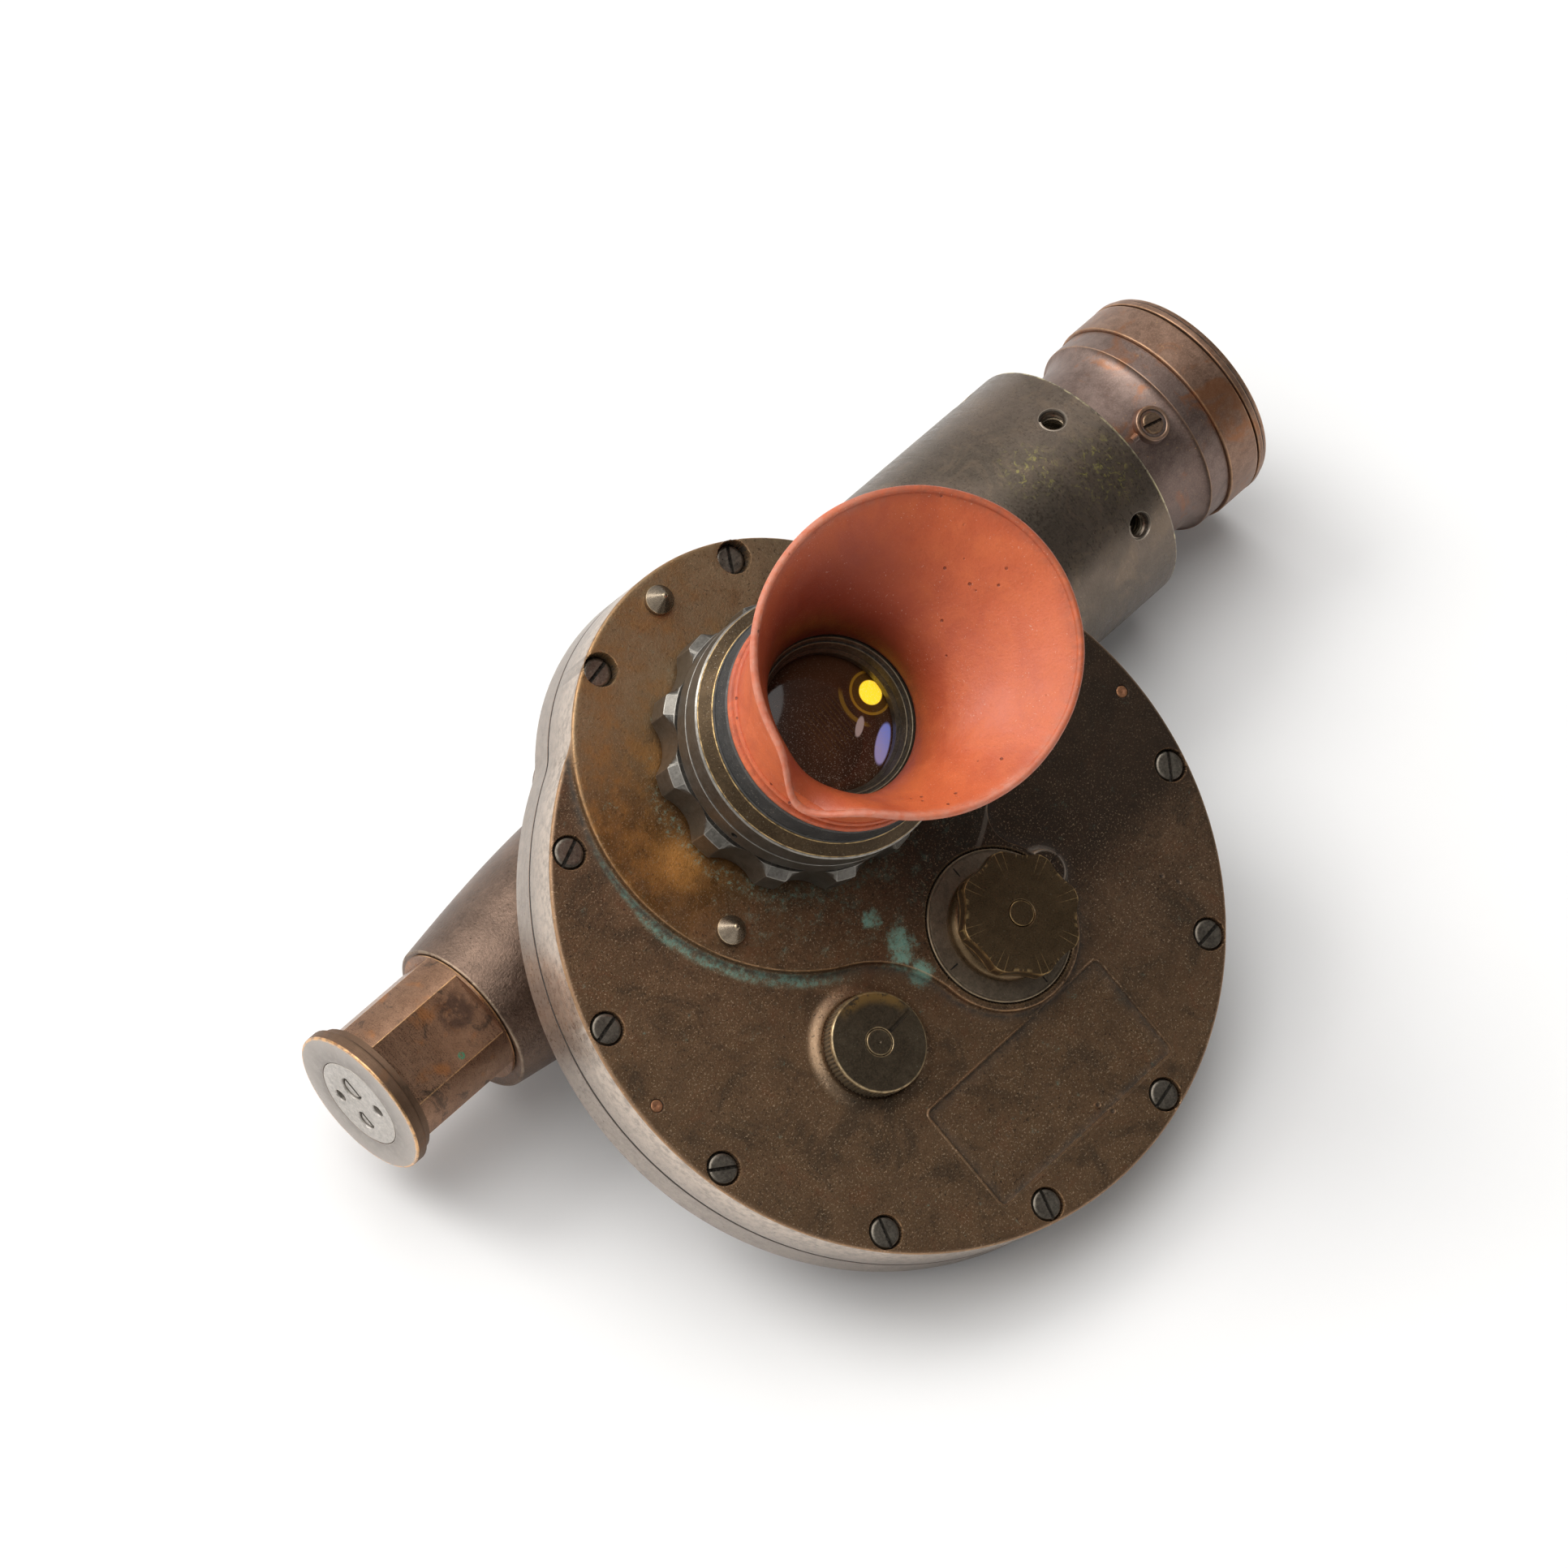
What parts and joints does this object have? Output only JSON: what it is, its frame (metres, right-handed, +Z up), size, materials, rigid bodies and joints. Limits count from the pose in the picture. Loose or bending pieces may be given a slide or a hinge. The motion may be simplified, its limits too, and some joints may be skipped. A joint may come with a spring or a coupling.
{
  "type": "elbow telescope",
  "caption": "Elbow telescope with a round filter housing, a flared rubber eyeguard, a scalloped focus ring, filter and density knobs, and a machined mounting barrel.",
  "frame": {"origin": "centre of the mounting barrel, on the tube's axis", "axes": "+X along the tube towards the objective, +Z up with the instrument lying on its tube and flange rim, +Y to the eyepiece side"},
  "size_m": [0.3062, 0.1808, 0.168],
  "materials": {
    "cast_bronze": "sand-cast bronze under brown paint, worn at the edges",
    "cast_housing": "cast bronze, brown patina, machined flange",
    "barrel_bronze": "machined bronze, dark grey-green patina",
    "tube_bronze": "satin bronze, brown patina",
    "stem_bronze": "brushed bronze, worn bright at the edges",
    "plug_metal": "satin nickel-silver",
    "dark_screw": "dark brass screws",
    "dowel_copper": "bare bronze pins",
    "knob_brass": "dark brass, bright at the edges",
    "focus_metal": "gunmetal finish",
    "focus_cap_brass": "worn brown brass, dusty",
    "eyepiece_brass": "turned brass",
    "black_metal": "blackened brass",
    "gear_brass": "machined brass",
    "steel": "ground steel",
    "gasket_rubber": "black rubber",
    "guard_rubber": "aged terracotta rubber",
    "lens_glass": "polished optical glass",
    "yellow_glass": "yellow filter glass",
    "red_glass": "red filter glass",
    "polarizer_glass": "grey polarizing glass"
  },
  "bodies": {
    "body": {"housing": "cast_housing", "barrel": "barrel_bronze", "objective_tube": "tube_bronze", "seal_screw": "dark_screw", "objective_cell": "tube_bronze", "objective_flint": "lens_glass", "objective_spacer": "black_metal", "objective_crown": "lens_glass", "objective_retainer": "black_metal", "objective_gasket": "gasket_rubber", "objective_cap": "tube_bronze", "prism": "lens_glass", "prism_bracket": "black_metal", "prism_frame": "black_metal", "reticle": "lens_glass", "reticle_cell": "black_metal", "wheel_axle": "steel", "wheel_clip": "steel", "filter_gland": "gear_brass", "density_gland": "gear_brass", "idler_post": "steel", "polarizer_clip": "steel", "cover": "cast_bronze", "cover_gasket": "gasket_rubber", "cover_screws": "dark_screw", "dowels": "dowel_copper", "studs": "dark_screw", "eyepiece_body": "eyepiece_brass", "rear_shank": "stem_bronze", "rear_plug": "plug_metal", "inlet_screw": "plug_metal"},
    "filter_wheel": {"filter_wheel": "gear_brass", "filter_gear": "gear_brass", "filter_clear": "lens_glass", "filter_yellow": "yellow_glass", "filter_red": "red_glass", "filter_polarizer": "polarizer_glass", "filter_rings": "black_metal"},
    "filter_drive": {"filter_knob": "knob_brass", "filter_knob_plug": "knob_brass", "filter_dial": "knob_brass", "filter_shaft": "steel", "filter_pinion": "gear_brass"},
    "density_drive": {"density_knob": "knob_brass", "density_knob_plug": "knob_brass", "density_shaft": "steel", "density_pinion": "gear_brass"},
    "idler": {"idler_gear": "gear_brass"},
    "polarizer": {"polarizer_ring": "gear_brass", "polarizer_glass": "polarizer_glass"},
    "focus": {"focus_ring": "focus_metal", "focus_cap": "focus_cap_brass"},
    "eyepiece": {"eyepiece_barrel": "eyepiece_brass", "field_lens": "lens_glass", "eye_lens": "lens_glass", "eye_lens_retainer": "black_metal"},
    "eyeguard": {"eyeguard_clamp": "black_metal", "eyeguard": "guard_rubber"},
    "valve": {"valve_screw": "plug_metal"}
  },
  "joints": [
    {"name": "focus_turn", "type": "hinge", "parent": "body", "child": "focus", "pos_m": [-0.1125, -0.03545, 0.06152], "axis": [0, -0.4993, 0.8664], "range_deg": [0, 250]},
    {"name": "eyepiece_slide", "type": "slide", "parent": "body", "child": "eyepiece", "axis": [0, -0.4993, 0.8664], "range_m": [0, 0.005]},
    {"name": "eyeguard_turn", "type": "hinge", "parent": "eyepiece", "child": "eyeguard", "pos_m": [-0.1125, -0.04843, 0.08404], "axis": [0, -0.4993, 0.8664], "continuous": true},
    {"name": "filter_knob_turn", "type": "hinge", "parent": "body", "child": "filter_drive", "pos_m": [-0.0973, -0.09075, 0.02388], "axis": [0, -0.4993, 0.8664], "continuous": true},
    {"name": "filter_wheel_turn", "type": "hinge", "parent": "body", "child": "filter_wheel", "pos_m": [-0.1125, -0.05909, 0.01442], "axis": [0, -0.4993, 0.8664], "continuous": true},
    {"name": "density_knob_turn", "type": "hinge", "parent": "body", "child": "density_drive", "pos_m": [-0.1438, -0.0907, 0.0216], "axis": [0, -0.4993, 0.8664], "range_deg": [0, 180]},
    {"name": "idler_turn", "type": "hinge", "parent": "body", "child": "idler", "pos_m": [-0.13024, -0.05875, 0.025], "axis": [0, -0.4993, 0.8664], "range_deg": [-81, 0]},
    {"name": "polarizer_turn", "type": "hinge", "parent": "body", "child": "polarizer", "pos_m": [-0.1125, -0.02547, 0.04419], "axis": [0, -0.4993, 0.8664], "range_deg": [0, 91]},
    {"name": "valve_turn", "type": "hinge", "parent": "body", "child": "valve", "pos_m": [-0.2285, 0.00233, 0.00377], "axis": [-1, 0, 0], "range_deg": [0, 270]}
  ],
  "couplings": [
    {"joint": "eyepiece_slide", "follows": "focus_turn", "m_per_rad": 0.00114},
    {"joint": "filter_wheel_turn", "follows": "filter_knob_turn", "ratio": -1},
    {"joint": "idler_turn", "follows": "density_knob_turn", "ratio": -0.44444},
    {"joint": "polarizer_turn", "follows": "density_knob_turn", "ratio": 0.5}
  ]
}
